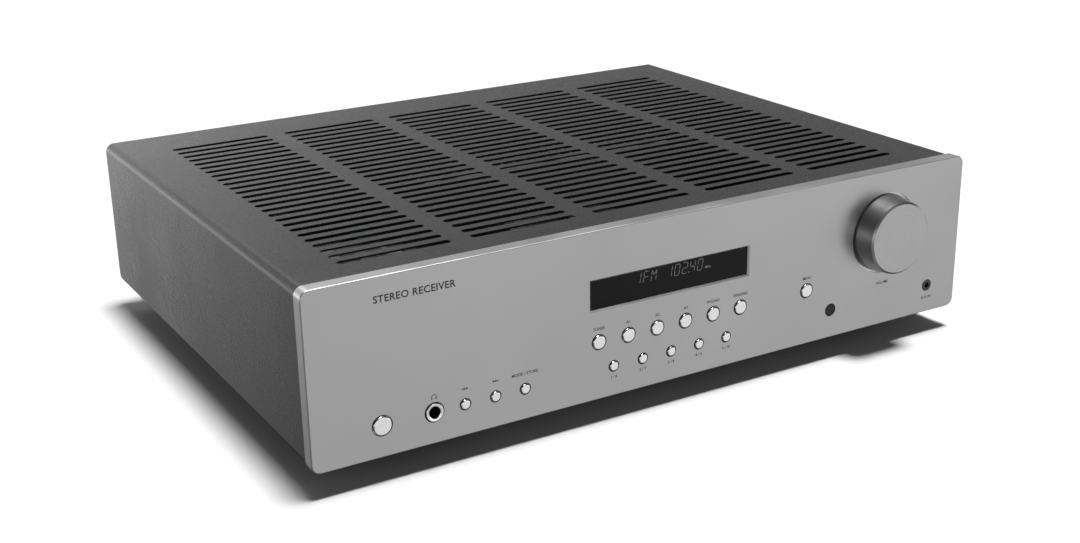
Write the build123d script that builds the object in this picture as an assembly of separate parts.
from build123d import *

import os
from math import cos, radians, sin

# A stereo receiver, in millimetres. X runs to the right as seen from the front, Y runs to the back and
# Z runs up. Depths are measured back from the face of the front plate, and heights up from the surface
# that the feet stand on. The origin lies on that surface, under the middle of the whole object.

# ---- case ----
width = 430.0
body_depth = 326.0
plate_height = 96.5
foot_height = 14.0
chassis_lift = 5.0
sheet = 1.2
side_rail = 24.0
cover_sheet = 1.0
cover_step = 0.7
cover_bend = 5.5
cover_lip = 10.0
slip = 0.2

# ---- front plate ----
plate_sheet = 3.0
return_depth = 8.0
return_wall = 2.5
plate_corner = 5.0
edge_round = 0.7
low_row = 17.5
mid_row = 33.5
knob_row = 58.2
display_row = 60.3
display_width = 104.5
display_height = 16.5
display_bevel = 0.9

# ---- knob, buttons and sockets on the front ----
knob_x = 154.6
knob_proud = 13.5
knob_base_radius = 23.6
knob_face_radius = 21.8
knob_recess_radius = 24.9
knob_recess = 1.8
shaft_radius = 3.0
shaft_clearance = 0.05
button_travel = 0.5
button_proud = 0.9
button_gap = 0.45
collar_step = 0.9
collar_depth = 1.4
large_hole = 5.6
medium_hole = 4.45
small_hole = 3.2
standby_x = -176.2
phones_x = -147.0
first_small_x = -129.2
small_pitch = 17.8
source_pitch = 19.0
menu_x = 95.8
ir_x = 114.8
ir_radius = 4.0
aux_x = 191.8
phones_bore = 3.2
phones_bush = 5.3
aux_bore = 1.78
aux_bush = 3.5

# ---- vents in the cover ----
vent_columns = 5
vent_rows = 26
vent_length = 63.5
vent_width = 4.8
vent_column_pitch = 75.4
vent_row_pitch = 10.25
first_vent_y = 30.0

# ---- feet ----
foot_x = 165.0
foot_front = 48.0
foot_back = 282.0
foot_radius = 22.0
foot_recess = 6.5
foot_taper = 1.5
pad_inner = 9.5
pad_outer = 18.5
pad_height = 3.6
pad_proud = 2.2

# ---- layers behind the front plate, as depths ----
subframe_front = 6.5
board_front = 14.0
switch_height = 3.5
board_sheet = 1.6
stem_radius = 1.65
switch_pocket = 1.75
flange = 16.0
flange_screw = 10.0
subframe_screw_x = (-150.0, -50.0, 50.0, 150.0)

# ---- screws ----
screw_shank = 1.45
screw_pilot = 1.5
screw_clear = 1.7
screw_head = 2.8
screw_head_height = 2.0

# ---- inside ----
spacer_height = 8.0
spacer_radius = 3.2
spacer_spigot = 2.0
transformer_x = -138.0
transformer_y = 118.0
transformer_radius = 56.0
transformer_height = 52.0
transformer_hole = 16.0
bolt_radius = 4.0
mains_lead = 1.5
sink_x0 = -56.0
sink_x1 = 128.0
sink_back = 190.0
sink_height = 62.0
sink_wall = 6.0
fin_count = 22
fin_reach = 34.0
fin_half = 0.9

# ---- back ----
post_proud = 20.0
terminal_pitch = 22.0
terminal_rows = 30.0
terminal_centre_x = -92.0
terminal_centre_z = 62.0
terminal_plate = 2.4
stud_radius = 3.0
banana_bore = 2.03
cap_radius = 6.4
cap_clearance = 0.06
jack_pitch = 18.0
jack_rows = 20.0
jack_columns = 6
jack_centre_x = 108.0
jack_row_centre = 60.0
inlet_x = -182.0
inlet_z = 42.0
rocker_z = 84.0
rocker_tilt = 10.0
fm_x = 22.0
fm_z = 72.0
thread_radius = 4.9
thread_start = 3.0
thread_turns = 7
earth_x = 182.0
earth_z = 60.0

# ---- worked out ----
plate_bottom = foot_height
plate_top = plate_bottom + plate_height
floor_bottom = plate_bottom + chassis_lift
floor_top = floor_bottom + sheet
cover_top = plate_top - cover_step
cover_half = width / 2 - cover_step
chassis_half = cover_half - cover_sheet - slip
inside_top = cover_top - cover_sheet
rear_face = body_depth - cover_sheet
rear_inside = rear_face - sheet
board_back = board_front + board_sheet
board_low = floor_top + spacer_height
board_high = board_low + board_sheet
rocker_pivot_y = rear_face - 3.0
centre_depth = (body_depth + post_proud - knob_proud) / 2


def lift(height):
    """Height above the standing surface of a row measured from the plate's lower edge."""
    return plate_bottom + height


def block(x0, x1, y0, y1, z0, z1):
    """A box between two corners."""
    return Pos((x0 + x1) / 2, (y0 + y1) / 2, (z0 + z1) / 2) * Box(x1 - x0, y1 - y0, z1 - z0)


def rod(x, z, radius, y0, y1):
    """A round bar along Y between two depths."""
    return Pos(x, (y0 + y1) / 2, z) * Rot(90, 0, 0) * Cylinder(radius, y1 - y0)


def pillar(x, y, radius, z0, z1):
    """An upright round bar."""
    return Pos(x, y, (z0 + z1) / 2) * Cylinder(radius, z1 - z0)


def plate(sketch, y0, y1):
    """A sketch drawn in X and Z, made solid between two depths."""
    return Pos(0, y0, 0) * extrude(Plane.XZ * sketch, amount=-(y1 - y0))


def upright(sketch, z0, z1):
    """A sketch drawn in X and Y, made solid between two heights."""
    return Pos(0, 0, z0) * extrude(sketch, amount=z1 - z0)


def write(name, shape):
    """Write one node, moved so that the origin lies under the middle of the object."""
    solids = shape if isinstance(shape, list) else [shape]
    placed = [Pos(0, -centre_depth, 0) * solid for solid in solids]
    bodies = [body for item in placed for body in item.solids()]
    whole = bodies[0] if len(bodies) == 1 else Compound(bodies)
    export_step(whole, f"parts/{name}.step")


# ---------------------------------------------------------------- front plate


def button_list():
    """Name, place and hole radius of every push button on the front."""
    buttons = [("standby_button", standby_x, low_row, large_hole)]
    for index, name in enumerate(("skip_back_button", "skip_forward_button", "mode_button")):
        buttons.append((name, first_small_x + index * small_pitch, low_row, small_hole))
    sources = ("tuner_button", "source_1_button", "source_2_button")
    sources += ("source_3_button", "phono_button", "speaker_button")
    for index, name in enumerate(sources):
        x = (index - (len(sources) - 1) / 2) * source_pitch
        buttons.append((name, x, mid_row, medium_hole))
    for index in range(5):
        buttons.append((f"preset_{index + 1}_button", (index - 2) * source_pitch, low_row, small_hole))
    buttons.append(("menu_button", menu_x, mid_row, medium_hole))
    return buttons


def boss_places():
    """Where the front plate's inside bosses stand."""
    return [(x, z) for x in (-202.0, -70.0, 70.0, 202.0) for z in (lift(12.0), lift(88.5))]


def front_bezel():
    """Aluminium front plate with a return round its back, and its openings."""
    middle = Pos(0, plate_bottom + plate_height / 2)
    outer = middle * RectangleRounded(width, plate_height, plate_corner)
    body = plate(outer, 0, return_depth)
    rim = body.edges().filter_by(lambda edge: abs(edge.bounding_box().max.Y) < 0.001)
    body = fillet(rim, edge_round)
    inner_corner = plate_corner - return_wall + 0.5
    inner = RectangleRounded(width - 2 * return_wall, plate_height - 2 * return_wall, inner_corner)
    body -= plate(middle * inner, plate_sheet, return_depth + 1)
    opening = Pos(0, lift(display_row)) * Rectangle(display_width, display_height)
    window_hole = plate(opening, -1, plate_sheet + 1)
    spread = 4 * display_bevel
    flare = Pos(0, lift(display_row)) * Rectangle(display_width + spread, display_height + spread)
    flare_face = Pos(0, -display_bevel, 0) * (Plane.XZ * flare)
    body -= window_hole
    body -= extrude(flare_face, amount=-spread, taper=45)
    for _, x, row, radius in button_list():
        body -= rod(x, lift(row), radius, -1, plate_sheet + 1)
    body -= rod(knob_x, lift(knob_row), knob_recess_radius, -1, knob_recess)
    body -= rod(knob_x, lift(knob_row), 5.0, -1, plate_sheet + 1)
    body -= rod(phones_x, lift(low_row), phones_bush + slip, -1, plate_sheet + 1)
    body -= rod(aux_x, lift(low_row), aux_bush + slip, -1, plate_sheet + 1)
    body -= rod(ir_x, lift(low_row), ir_radius, -1, plate_sheet + 1)
    for x, z in boss_places():
        body += rod(x, z, 3.5, plate_sheet - 0.5, subframe_front)
        body -= rod(x, z, screw_pilot, plate_sheet - 0.8, subframe_front + 1)
    return body


def display_window():
    """Dark window pane with a ledge behind the plate's opening."""
    play = 0.15
    pane = Pos(0, lift(display_row)) * Rectangle(display_width - 2 * play, display_height - 2 * play)
    ledge = Pos(0, lift(display_row)) * RectangleRounded(display_width + 7, display_height + 6, 1.5)
    return plate(pane, 1.3, plate_sheet) + plate(ledge, plate_sheet, plate_sheet + 1.2)


def ir_window():
    """Round lens for the remote control's receiver, with a collar behind the plate."""
    lens = rod(ir_x, lift(low_row), ir_radius - 0.05, 0.2, plate_sheet)
    lens = fillet(lens.edges().group_by(Axis.Y)[0], 0.6)
    return lens + rod(ir_x, lift(low_row), ir_radius + 1.5, plate_sheet, plate_sheet + 1.2)


def push_button(x, row, hole):
    """A button: domed cap, collar behind the plate and a stem that ends in the switch."""
    z = lift(row)
    cap_radius = hole - button_gap
    cap = rod(x, z, cap_radius, -button_proud, plate_sheet)
    cap = fillet(cap.edges().group_by(Axis.Y)[0], 0.8)
    collar = rod(x, z, hole + collar_step, plate_sheet, plate_sheet + collar_depth)
    stem = rod(x, z, stem_radius, plate_sheet + 1, board_front - switch_height + 1.2)
    return cap + collar + stem


# ---------------------------------------------------------------- behind the front plate


def screw(length):
    """A pan-head screw along +Z, its head's seat at the origin and its head above."""
    head = Pos(0, 0, screw_head_height / 2) * Cylinder(screw_head, screw_head_height)
    head = fillet(head.edges().group_by(Axis.Z)[-1], 0.9)
    slot = Box(3.4, 0.7, 1.1) + Box(0.7, 3.4, 1.1)
    shank = Pos(0, 0, -length / 2) * Cylinder(screw_shank, length)
    return head + shank - Pos(0, 0, screw_head_height - 0.5) * slot


def front_subframe():
    """Steel plate behind the front plate, folded back at the top and bottom."""
    half = width / 2 - return_wall - 1.5
    low = floor_top
    high = inside_top - slip
    sheet_back = subframe_front + sheet
    body = block(-half, half, subframe_front, sheet_back, low, high - 1)
    for base in (low, high - 1 - sheet):
        body += block(-half + 3, half - 3, subframe_front, subframe_front + flange, base, base + sheet)
    view = Pos(0, lift(display_row)) * Rectangle(display_width + 15, display_height + 12)
    body -= plate(view, subframe_front - 1, sheet_back + 1)
    for _, x, row, radius in button_list():
        body -= rod(x, lift(row), stem_radius + 0.6, subframe_front - 1, sheet_back + 1)
    body -= rod(knob_x, lift(knob_row), 4.6, subframe_front - 1, sheet_back + 1)
    body -= rod(phones_x, lift(low_row), phones_bush + 0.4, subframe_front - 1, sheet_back + 1)
    body -= rod(aux_x, lift(low_row), aux_bush + 0.4, subframe_front - 1, sheet_back + 1)
    body -= rod(ir_x, lift(low_row), ir_radius, subframe_front - 1, sheet_back + 1)
    for x, z in boss_places():
        body -= rod(x, z, screw_clear, subframe_front - 1, sheet_back + 1)
    for x in subframe_screw_x:
        body -= pillar(x, subframe_front + flange_screw, screw_clear, low - 1, low + sheet + 1)
    return body


def front_board():
    """Long circuit board behind the sub-frame, with holes round the sockets and the encoder."""
    body = block(-190, 206, board_front, board_back, floor_top + 6, inside_top - 8)
    z = lift(low_row)
    body -= block(phones_x - 7.6, phones_x + 7.6, board_front - 1, board_back + 1, z - 8, z + 8)
    body -= block(aux_x - 5, aux_x + 5, board_front - 1, board_back + 1, z - 5, z + 5)
    return body


def tact_switches():
    """One square switch behind each button, with a round pocket for the button's stem."""
    switches = []
    front = board_front - switch_height
    for _, x, row, _ in button_list():
        z = lift(row)
        body = block(x - 3, x + 3, front, board_front, z - 3, z + 3)
        body = chamfer(body.edges().filter_by(Axis.Y), 0.4)
        body -= rod(x, z, switch_pocket, front - 1, front + 2.2)
        switches.append(body)
    return switches


def display_module():
    """Sealed glass display on its carrier, in front of the front board."""
    z = lift(display_row)
    glass = block(-56, 56, 4.7, 10.5, z - 11, z + 11)
    glass = fillet(glass.edges().group_by(Axis.Y)[0], 0.5)
    carrier = block(-58, 58, 10.5, board_front, z - 13, z + 13)
    return glass + carrier


def volume_encoder():
    """Rotary encoder: square case, threaded bush and its nut, open for the shaft."""
    z = lift(knob_row)
    front = subframe_front + sheet
    case = block(knob_x - 7, knob_x + 7, front, board_front, z - 7, z + 7)
    bush = rod(knob_x, z, 4.4, 1.9, front)
    nut = plate(Pos(knob_x, z) * RegularPolygon(6.5, 6), plate_sheet + 0.2, subframe_front)
    nut -= rod(knob_x, z, 4.4, 0, 10)
    bore = rod(knob_x, z, shaft_radius + shaft_clearance, 0, board_front - 1.5)
    return [case + bush - bore, nut]


def volume_shaft():
    """Encoder shaft with a flat near its front end."""
    z = lift(knob_row)
    body = rod(knob_x, z, shaft_radius, -knob_proud + 4, board_front - 2)
    flat = block(knob_x - 4, knob_x + 4, -knob_proud + 3, -1, z + shaft_radius - 1.5, z + 5)
    return body - flat


def volume_knob():
    """Tapered aluminium knob, hollow behind, with a hub round the shaft."""
    back = knob_recess - 0.8
    bevel = 1.0
    depth = back + knob_proud
    start = Pos(knob_x, back, lift(knob_row)) * Rot(90, 0, 0)
    taper = start * (Pos(0, 0, depth / 2) * Cone(knob_base_radius, knob_face_radius, depth))
    body = chamfer(taper.edges().group_by(Axis.Y)[0], bevel)
    wall = 2.6
    inside = depth - 3.5
    hollow = Pos(0, 0, inside / 2) * Cone(knob_base_radius - wall, knob_face_radius - wall, inside)
    body -= start * hollow
    hub = rod(knob_x, lift(knob_row), 6.5, -knob_proud + 3, back)
    return body + hub - volume_shaft()


def headphone_jack():
    """6.35 mm socket: bush through the front plate, body behind and a blind bore."""
    z = lift(low_row)
    bush = rod(phones_x, z, phones_bush, -0.4, 8.6)
    bush = fillet(bush.edges().group_by(Axis.Y)[0], 0.35)
    body = block(phones_x - 7, phones_x + 7, 8.2, 36, z - 7.5, z + 7.5)
    return bush + body - rod(phones_x, z, phones_bore, -2, 32)


def aux_jack():
    """3.5 mm socket: bush through the front plate, body behind and a blind bore."""
    z = lift(low_row)
    bush = rod(aux_x, z, aux_bush, -0.3, 8.6)
    bush = fillet(bush.edges().group_by(Axis.Y)[0], 0.3)
    body = block(aux_x - 4.5, aux_x + 4.5, 8.2, 22, z - 4.5, z + 4.5)
    return bush + body - rod(aux_x, z, aux_bore, -2, 18)


# ---------------------------------------------------------------- case


def vent_sketch():
    """Five columns of long round-ended slots."""
    slots = Sketch()
    for column in range(vent_columns):
        x = (column - (vent_columns - 1) / 2) * vent_column_pitch
        for row in range(vent_rows):
            slots += Pos(x, first_vent_y + row * vent_row_pitch) * SlotOverall(vent_length, vent_width)
    return slots


def cover_screw_places():
    """Screws through the cover's rear lip: along the top and down both sides."""
    top = [(x, cover_top - 6.0) for x in (-150.0, -50.0, 50.0, 150.0)]
    sides = [(side * (cover_half - 6.0), z) for side in (-1, 1) for z in (38.0, 78.0)]
    return top + sides


def top_cover():
    """Folded cover: top with vents, two sides, and a narrow lip turned in at the back."""
    height = cover_top - floor_bottom
    outer = Pos(0, floor_bottom) * RectangleRounded(2 * cover_half, 2 * height, cover_bend)
    outer -= Pos(0, floor_bottom - height / 2 - 1) * Rectangle(width + 10, height + 2)
    inner_half = cover_half - cover_sheet
    inner_bend = cover_bend - cover_sheet
    inner = Pos(0, floor_bottom) * RectangleRounded(2 * inner_half, 2 * (height - cover_sheet), inner_bend)
    shell = plate(outer - inner, return_depth + 0.1, body_depth)
    window_half = cover_half - cover_lip
    window = Pos(0, floor_bottom) * Rectangle(2 * window_half, 2 * (height - cover_lip))
    shell += plate(outer - window, rear_face, body_depth)
    shell -= upright(vent_sketch(), cover_top - 2, cover_top + 2)
    for x, z in cover_screw_places():
        shell -= rod(x, z, screw_clear, rear_face - 1, body_depth + 1)
    corner = 3.5
    start = body_depth - corner
    end = floor_bottom + corner
    square = block(-width, width, start, body_depth + 1, floor_bottom - 1, end)
    return shell - (square - Pos(0, start, end) * Rot(0, 90, 0) * Cylinder(corner, 3 * width))


def foot_places():
    """Where the four feet stand."""
    return [(x, y) for x in (-foot_x, foot_x) for y in (foot_front, foot_back)]


def spacer_places():
    """Threaded spacers that carry the main board."""
    return [(x, y) for x in (-52.0, 68.0, 192.0) for y in (80.0, 164.0, 296.0)]


def floor_slots():
    """Air slots in the floor, under the transformer and under the heat sink."""
    slots = Sketch()
    for row in range(7):
        for centre_x, centre_y in ((-138.0, 225.0), (10.0, 120.0), (120.0, 120.0)):
            slots += Pos(centre_x, centre_y + (row - 3) * 10.0) * SlotOverall(60, 4)
    return slots


def base_chassis():
    """Steel floor with air slots and screw holes, and a rail welded along each side of it."""
    back = rear_inside - 0.1
    body = block(-chassis_half, chassis_half, 8.4, back, floor_bottom, floor_top)
    body -= upright(floor_slots(), floor_bottom - 1, floor_top + 1)
    for x, y in foot_places():
        body -= pillar(x, y, screw_pilot, floor_bottom - 1, floor_top + 1)
    body -= pillar(transformer_x, transformer_y, 4.1, floor_bottom - 1, floor_top + 1)
    for x in subframe_screw_x:
        body -= pillar(x, subframe_front + flange_screw, screw_pilot, floor_bottom - 1, floor_top + 1)
    for x, y in spacer_places():
        body -= pillar(x, y, spacer_spigot, floor_bottom - 1, floor_top + 1)
    pieces = [body]
    for side in (-1, 1):
        x0, x1 = sorted((side * chassis_half, side * (chassis_half - sheet)))
        rail = block(x0, x1, subframe_front + flange + 1.5, back - 14, floor_top, floor_top + side_rail)
        pieces.append(rail)
    return pieces


def foot():
    """Round moulded foot with a recess for its screw and a groove for its pad."""
    profile = Polyline(
        (foot_recess, floor_bottom),
        (foot_radius, floor_bottom),
        (foot_radius, plate_bottom),
        (foot_radius - foot_taper, pad_proud),
        (pad_outer, pad_proud),
        (pad_outer, pad_height),
        (pad_inner, pad_height),
        (pad_inner, pad_proud),
        (foot_recess, pad_proud),
        close=True,
    )
    ring = revolve(Plane.XZ * make_face(profile), Axis.Z)
    web = pillar(0, 0, foot_recess + 0.1, plate_bottom, floor_bottom)
    return ring + web - pillar(0, 0, screw_clear, plate_bottom - 1, floor_bottom + 1)


def foot_pad():
    """Soft ring that stands on the surface, seated in the foot's groove."""
    return pillar(0, 0, pad_outer - 0.1, 0, pad_height) - pillar(0, 0, pad_inner + 0.1, -1, pad_height + 1)


def at_feet(piece):
    """The same piece at each foot."""
    return [Pos(x, y, 0) * piece for x, y in foot_places()]


def case_screws():
    """Black screws that hold the cover's lip, the feet and the connector plates."""
    outward = Rot(-90, 0, 0)
    screws = [Pos(x, body_depth, z) * outward * screw(5.0) for x, z in cover_screw_places()]
    screws += [Pos(x, rear_face, z) * outward * screw(5.0) for x, z in connector_screw_places()]
    seat = rear_face + terminal_plate
    screws += [Pos(x, seat, z) * outward * screw(7.0) for x, z in terminal_screw_places()]
    screws += at_feet(Pos(0, 0, plate_bottom) * Rot(180, 0, 0) * screw(8.0))
    return screws


def spacer():
    """Threaded spacer, pressed into the floor by its spigot, with a blind hole from above."""
    top = floor_top + spacer_height
    body = pillar(0, 0, spacer_radius, floor_top, top)
    body += pillar(0, 0, spacer_spigot - 0.02, floor_bottom, floor_top)
    return body - pillar(0, 0, screw_pilot, floor_top + 1, top + 1)


def board_screws():
    """Spacers and plain screws: main board to spacers, front plate to sub-frame, sub-frame to floor."""
    pieces = [Pos(x, y, 0) * spacer() for x, y in spacer_places()]
    pieces += [Pos(x, y, board_high) * screw(6.0) for x, y in spacer_places()]
    back = subframe_front + sheet
    pieces += [Pos(x, back, z) * Rot(-90, 0, 0) * screw(4.2) for x, z in boss_places()]
    seat = floor_top + sheet
    pieces += [Pos(x, subframe_front + flange_screw, seat) * screw(2.3) for x in subframe_screw_x]
    return pieces


# ---------------------------------------------------------------- inside


def main_board():
    """Large circuit board that carries the amplifier, the supply and the phono sockets."""
    body = block(-62, 204, 70, rear_inside - 14, board_low, board_high)
    for x, y in spacer_places():
        body -= pillar(x, y, screw_clear, board_low - 1, board_high + 1)
    return body


def power_transformer():
    """Wound ring of the mains transformer."""
    ring = Circle(transformer_radius) - Circle(transformer_hole)
    body = Pos(transformer_x, transformer_y, floor_top + 1) * extrude(ring, amount=transformer_height)
    outer = body.edges().filter_by(GeomType.CIRCLE)
    return fillet(outer.filter_by(lambda edge: edge.radius > 20), 12.0)


def transformer_clamp():
    """Rubber pad, dished steel plate and long bolt that hold the transformer."""
    top = floor_top + 1 + transformer_height
    place = Pos(transformer_x, transformer_y, 0)
    pad = Pos(0, 0, floor_top + 0.5) * (Cylinder(38, 1.0) - Cylinder(4.1, 2.0))
    dish = Pos(0, 0, top + 0.75) * (Cylinder(34, 1.5) - Cylinder(4.1, 3.0))
    shank = Pos(0, 0, (floor_bottom - 6 + top + 1.5) / 2) * Cylinder(4.0, top + 1.5 - floor_bottom + 6)
    head = Pos(0, 0, top + 1.5) * extrude(RegularPolygon(7.0, 6), amount=5.3)
    nut = Pos(0, 0, floor_bottom - 5.5) * (extrude(RegularPolygon(7.0, 6), amount=5.5) - Cylinder(4.0, 20))
    return [place * item for item in (pad, dish, shank + head, nut)]


def heat_sink():
    """Extruded aluminium heat sink: thick wall with tall fins behind it."""
    low = board_high
    high = low + sink_height
    body = block(sink_x0, sink_x1, sink_back - sink_wall, sink_back, low, high)
    pitch = (sink_x1 - sink_x0 - 2) / (fin_count - 1)
    for index in range(fin_count):
        x = sink_x0 + 1 + index * pitch
        body += block(x - fin_half, x + fin_half, sink_back - 1, sink_back + fin_reach, low, high)
    return body


def output_transistors():
    """Four flat power transistors against the heat sink's wall, each on three legs."""
    parts = []
    back = sink_back - sink_wall
    for index in range(4):
        x = sink_x0 + 24 + index * 45.0
        body = block(x - 8, x + 8, back - 5, back, board_high + 12, board_high + 33)
        for offset in (-5, 0, 5):
            leg_x = x + offset
            body += block(leg_x - 0.6, leg_x + 0.6, back - 3, back - 2, board_high, board_high + 13)
        parts.append(body)
    return parts


def reservoir_capacitors():
    """Two large and six small electrolytic cans standing on the main board."""
    places = [(x, 112, 17, 50) for x in (-22, 20)]
    places += [(56 + 17 * column, 100 + 20 * row, 6.5, 24) for column in range(3) for row in range(2)]
    cans = []
    for x, y, radius, height in places:
        can = pillar(x, y, radius, board_high, board_high + height)
        can = fillet(can.edges().group_by(Axis.Z)[-1], 1.2)
        cans.append(can)
    return cans


def speaker_relays():
    """Box relays near the speaker terminals, with the supply's bridge rectifier."""
    relays = [block(x, x + 15, 258, 278, board_high, board_high + 19) for x in (-52, -30, -8)]
    relays.append(block(140, 166, 150, 156, board_high, board_high + 22))
    return [chamfer(relay.edges().group_by(Axis.Z)[-1], 0.8) for relay in relays]


def tuner_module():
    """Screened tin can of the radio tuner, standing behind its aerial socket."""
    low = fm_z - 20
    can = block(fm_x - 11, fm_x + 22, rear_inside - 62, rear_inside - 2, low, low + 34)
    can = fillet(can.edges().filter_by(Axis.Z), 1.0)
    return can + block(fm_x - 6, fm_x + 17, rear_inside - 60, rear_inside - 50, board_high, low)


# ---------------------------------------------------------------- back


def jack_places():
    """Centres of the phono sockets: pairs, one above the other."""
    places = []
    for column in range(jack_columns):
        x = jack_centre_x + (column - (jack_columns - 1) / 2) * jack_pitch
        for row in (-0.5, 0.5):
            places.append((x, jack_row_centre + row * jack_rows))
    return places


def post_places():
    """Centres of the eight speaker terminals: two rows of four."""
    places = []
    for row in (-0.5, 0.5):
        for column in range(4):
            x = terminal_centre_x + (column - 1.5) * terminal_pitch
            places.append((x, terminal_centre_z + row * terminal_rows))
    return places


def connector_screw_places():
    """Screws at the two ends of the row of phono blocks."""
    span = jack_columns * jack_pitch / 2 + 4.5
    return [(jack_centre_x + side * span, jack_row_centre) for side in (-1, 1)]


def terminal_screw_places():
    """Screws at the two ends of the speaker terminal plate."""
    return [(terminal_centre_x + side * 43.4, terminal_centre_z) for side in (-1, 1)]


def rear_panel():
    """Steel rear panel with forward flanges and every connector's cut-out."""
    low = floor_top
    high = inside_top - slip
    half = chassis_half - sheet - slip
    shape = Pos(0, (low + high) / 2) * Rectangle(2 * half, high - low)
    shape = chamfer(shape.vertices().group_by(Axis.Y)[-1], cover_bend)
    body = plate(shape, rear_inside, rear_face)
    body += block(-half + 4, half - 4, rear_inside - 12, rear_face, low, low + sheet)
    for x, z in jack_places():
        body -= rod(x, z, 5.2, rear_inside - 1, rear_face + 1)
    for x, z in post_places():
        body -= rod(x, z, 4.2, rear_inside - 1, rear_face + 1)
    for x, z in cover_screw_places() + connector_screw_places() + terminal_screw_places():
        body -= rod(x, z, screw_pilot, rear_inside - 1, rear_face + 1)
    body -= rod(fm_x, fm_z, 5.0, rear_inside - 1, rear_face + 1)
    body -= rod(earth_x, earth_z, 2.2, rear_inside - 1, rear_face + 1)
    body -= plate(Pos(inlet_x, inlet_z) * Rectangle(28.2, 20.2), rear_inside - 1, rear_face + 1)
    body -= plate(Pos(inlet_x, rocker_z) * Rectangle(27.2, 21.2), rear_inside - 1, rear_face + 1)
    return body


def rca_jacks():
    """Phono socket blocks: a black body inside and a metal collar for each socket outside."""
    blocks = []
    for column in range(jack_columns):
        x = jack_centre_x + (column - (jack_columns - 1) / 2) * jack_pitch
        low = jack_row_centre - jack_rows / 2 - 8
        high = jack_row_centre + jack_rows / 2 + 8
        body = block(x - 8.2, x + 8.2, rear_inside - 16, rear_inside, low, high)
        body += block(x - 5, x + 5, rear_inside - 16, rear_inside - 14.5, board_high, low + 1)
        for row in (-0.5, 0.5):
            z = jack_row_centre + row * jack_rows
            body += rod(x, z, 5.1, rear_inside - 1, rear_face + 1.2)
            body += rod(x, z, 4.15, rear_face, rear_face + 9.5)
            body -= rod(x, z, 3.4, rear_face + 1.5, rear_face + 10)
            body += rod(x, z, 2.6, rear_face + 1, rear_face + 8.5)
            body -= rod(x, z, 1.6, rear_face - 4, rear_face + 10)
        blocks.append(body)
    return blocks


def speaker_terminals():
    """Plastic terminal plate with a raised collar round each stud."""
    outline = RectangleRounded(4 * terminal_pitch + 6, terminal_rows + 28, 3)
    body = plate(Pos(terminal_centre_x, terminal_centre_z) * outline, rear_face, rear_face + terminal_plate)
    body = fillet(body.edges().group_by(Axis.Y)[-1], 0.5)
    for x, z in terminal_screw_places():
        body -= rod(x, z, screw_clear, rear_face - 1, rear_face + 5)
    for x, z in post_places():
        body += rod(x, z, 7.2, rear_face + 2, rear_face + 4.0)
        body += rod(x, z, 4.1, rear_inside, rear_face + 1)
        body -= rod(x, z, 3.0, rear_inside - 1, rear_face + 6)
    return body


def terminal_posts():
    """Eight hollow metal studs, and the solid stud of the earth terminal."""
    studs = []
    for x, z in post_places():
        stud = rod(x, z, stud_radius, rear_inside - 12, body_depth + post_proud - 1.5)
        stud += rod(x, z, 5.0, rear_inside - 2.5, rear_inside)
        stud -= rod(x, z, banana_bore, body_depth + 2, body_depth + post_proud)
        studs.append(stud)
    earth = rod(earth_x, earth_z, 2.0, rear_inside - 5, body_depth + 13)
    earth += rod(earth_x, earth_z, 4.0, rear_inside - 2.5, rear_inside)
    earth += rod(earth_x, earth_z, 4.0, rear_face, rear_face + 1.5)
    studs.append(earth)
    return studs


def terminal_cap(x, z):
    """Fluted screw cap on a speaker stud, open at its end for a banana plug."""
    front = rear_face + 4.6
    back = body_depth + post_proud
    cap = rod(x, z, cap_radius, front, back)
    cap = fillet(cap.edges().filter_by(GeomType.CIRCLE), 0.7)
    for index in range(12):
        angle = radians(30 * index)
        reach = cap_radius + 0.45
        cap -= rod(x + reach * cos(angle), z + reach * sin(angle), 0.95, front + 3.5, back + 1)
    return cap - rod(x, z, stud_radius + cap_clearance, front - 1, back + 1)


def earth_nut():
    """Knurled thumb nut on the earth stud."""
    front = rear_face + 1.8
    back = front + 7.5
    nut = rod(earth_x, earth_z, 5.0, front, back)
    nut = chamfer(nut.edges().filter_by(GeomType.CIRCLE), 0.6)
    for index in range(18):
        angle = radians(20 * index)
        nut -= rod(earth_x + 5.25 * cos(angle), earth_z + 5.25 * sin(angle), 0.55, front + 1.5, back + 1)
    return nut - rod(earth_x, earth_z, 2.0 + cap_clearance, front - 1, back + 1)


def fm_socket():
    """Threaded aerial socket with a flange, a nut behind and a centre hole."""
    body = rod(fm_x, fm_z, 4.7, rear_inside - 2, rear_face + 11)
    body += plate(Pos(fm_x, fm_z) * RegularPolygon(7.5, 6), rear_face, rear_face + 2)
    for turn in range(thread_turns):
        start = rear_face + thread_start + turn
        body += rod(fm_x, fm_z, thread_radius, start, start + 0.5)
    return body - rod(fm_x, fm_z, 1.2, rear_face + 2, rear_face + 12)


def mains_inlet():
    """C14 mains inlet: flange outside, recess with three blades, and tabs inside."""
    place = Pos(inlet_x, inlet_z)
    flange = plate(place * RectangleRounded(31.5, 24.5, 3), rear_face, rear_face + 2.6)
    flange = fillet(flange.edges().group_by(Axis.Y)[-1], 0.6)
    body = flange + plate(place * Rectangle(27.8, 19.8), rear_inside - 18, rear_face + 1)
    recess_shape = Polyline(
        (-12.2, -8.0),
        (12.2, -8.0),
        (12.2, 4.0),
        (8.2, 8.0),
        (-8.2, 8.0),
        (-12.2, 4.0),
        close=True,
    )
    body -= plate(place * make_face(recess_shape), rear_face - 14.5, rear_face + 4)
    for dx, dz in ((-7.0, -2.0), (7.0, -2.0), (0.0, 2.0)):
        x = inlet_x + dx
        z = inlet_z + dz
        body += block(x - 1, x + 1, rear_inside - 27, rear_face - 0.5, z - 2, z + 2)
    return body


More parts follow.
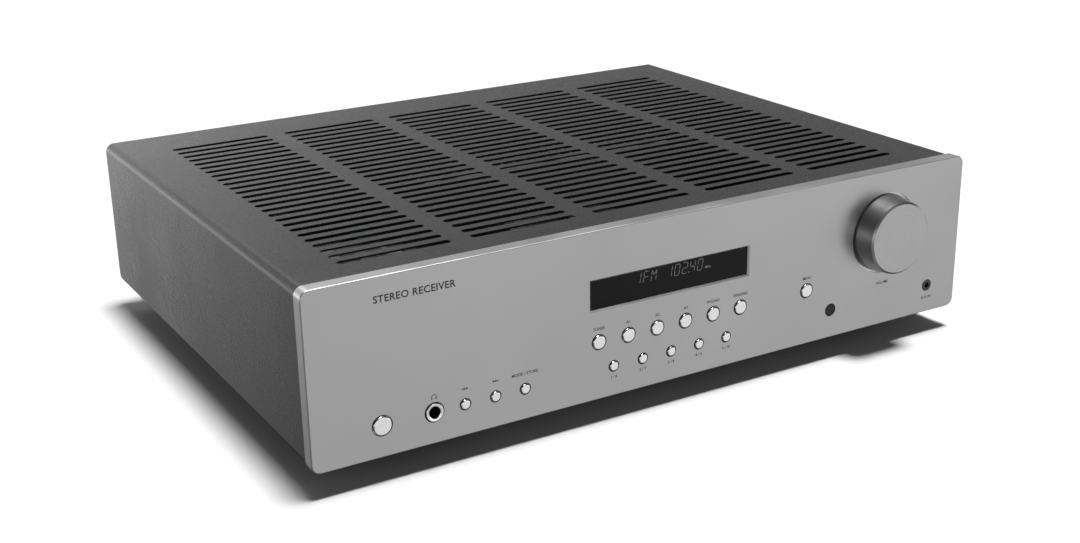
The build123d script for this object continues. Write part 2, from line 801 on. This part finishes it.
def rocker_housing():
    """Snap-in frame and case of the mains rocker switch."""
    place = Pos(inlet_x, rocker_z)
    flange = plate(place * RectangleRounded(31.0, 25.0, 2), rear_face, rear_face + 2.0)
    flange = fillet(flange.edges().group_by(Axis.Y)[-1], 0.5)
    body = flange + plate(place * Rectangle(26.8, 20.8), rear_inside - 20, rear_face + 1)
    body -= plate(place * Rectangle(23.4, 17.4), rear_face - 12, rear_face + 4)
    for dx in (-8, 0, 8):
        x = inlet_x + dx
        body += block(x - 3, x + 3, rear_inside - 29, rear_inside - 19, rocker_z - 0.4, rocker_z + 0.4)
    for side in (-1, 1):
        x = inlet_x + side * 11.9
        body -= Pos(x, rocker_pivot_y, rocker_z) * Rot(0, 90, 0) * Cylinder(1.55, 2.0)
    return body


def power_rocker():
    """Rocker with two shallow dished faces on a cross pivot, tipped to off."""
    half_x = 11.5
    shape = Polyline(
        (rocker_pivot_y - 5.5, -3.0),
        (rocker_pivot_y + 4.2, -7.5),
        (rocker_pivot_y + 6.0, -7.5),
        (rocker_pivot_y + 4.6, 0.0),
        (rocker_pivot_y + 6.0, 7.5),
        (rocker_pivot_y + 4.2, 7.5),
        (rocker_pivot_y - 5.5, 3.0),
        close=True,
    )
    body = extrude(Plane.YZ * make_face(shape), amount=half_x, both=True)
    body += Pos(0, rocker_pivot_y, 0) * Rot(0, 90, 0) * Cylinder(1.5, 2 * 12.4)
    tipped = Pos(0, rocker_pivot_y, 0) * Rot(rocker_tilt, 0, 0) * Pos(0, -rocker_pivot_y, 0) * body
    return Pos(inlet_x, 0, rocker_z) * tipped


# ---------------------------------------------------------------- wiring


def cable(points, radius, bends):
    """A round lead along straight runs joined by arcs."""
    path = FilletPolyline(*points, radius=bends)
    start = Plane(path @ 0, z_dir=path % 0)
    return sweep(start * Circle(radius), path=path)


def wiring_harness():
    """Mains leads to and from the switch, transformer leads and the ribbon from the front board."""
    tab_y = rear_inside - 29
    tail_y = rear_inside - 27
    supply = cable(
        [
            (inlet_x - 7, tail_y, inlet_z - 2),
            (inlet_x - 7, tail_y - 30, inlet_z - 2),
            (inlet_x - 8, tail_y - 32, rocker_z),
            (inlet_x - 8, tab_y, rocker_z),
        ],
        mains_lead,
        12.0,
    )
    primary = cable(
        [
            (inlet_x + 8, tab_y, rocker_z),
            (inlet_x + 8, tab_y - 38, rocker_z),
            (inlet_x + 16, tab_y - 66, 56.0),
            (transformer_x - 12, tab_y - 92, 46.0),
            (transformer_x - 10, transformer_y + transformer_radius - 2.5, 46.0),
        ],
        mains_lead,
        [17.0, 17.0, 17.0],
    )
    leads = [supply, primary]
    edge = transformer_x + transformer_radius - 1.5
    for offset in (-6.0, 0.0, 6.0):
        y = transformer_y + offset
        points = [(edge, y, 50.0), (edge + 20, y, 50.0), (edge + 35, y, 43.0), (edge + 35, y, board_high)]
        leads.append(cable(points, 1.1, [9.0, 9.0]))
    ribbon = [(-20, board_back, 62), (-20, 48, 62), (-20, 80, 50), (-20, 80, board_high)]
    route = FilletPolyline(*ribbon, radius=9.0)
    leads.append(sweep(Plane(route @ 0, x_dir=(1, 0, 0), z_dir=route % 0) * Rectangle(20, 1.0), path=route))
    return leads


def main():
    os.makedirs("parts", exist_ok=True)
    write("front_bezel", front_bezel())
    write("display_window", display_window())
    write("ir_window", ir_window())
    for name, x, row, hole in button_list():
        write(name, push_button(x, row, hole))
    write("front_subframe", front_subframe())
    write("front_board", front_board())
    write("tact_switches", tact_switches())
    write("display_module", display_module())
    write("volume_encoder", volume_encoder())
    write("volume_shaft", volume_shaft())
    write("volume_knob", volume_knob())
    write("headphone_jack", headphone_jack())
    write("aux_jack", aux_jack())
    write("top_cover", top_cover())
    write("base_chassis", base_chassis())
    write("feet", at_feet(foot()))
    write("foot_pads", at_feet(foot_pad()))
    write("case_screws", case_screws())
    write("board_screws", board_screws())
    write("main_board", main_board())
    write("power_transformer", power_transformer())
    write("transformer_clamp", transformer_clamp())
    write("heat_sink", heat_sink())
    write("output_transistors", output_transistors())
    write("reservoir_capacitors", reservoir_capacitors())
    write("speaker_relays", speaker_relays())
    write("tuner_module", tuner_module())
    write("rear_panel", rear_panel())
    write("rca_jacks", rca_jacks())
    write("speaker_terminals", speaker_terminals())
    write("terminal_posts", terminal_posts())
    for index, (x, z) in enumerate(post_places()):
        write(f"terminal_cap_{index + 1}", terminal_cap(x, z))
    write("earth_nut", earth_nut())
    write("fm_socket", fm_socket())
    write("mains_inlet", mains_inlet())
    write("rocker_housing", rocker_housing())
    write("power_rocker", power_rocker())
    write("wiring_harness", wiring_harness())


main()
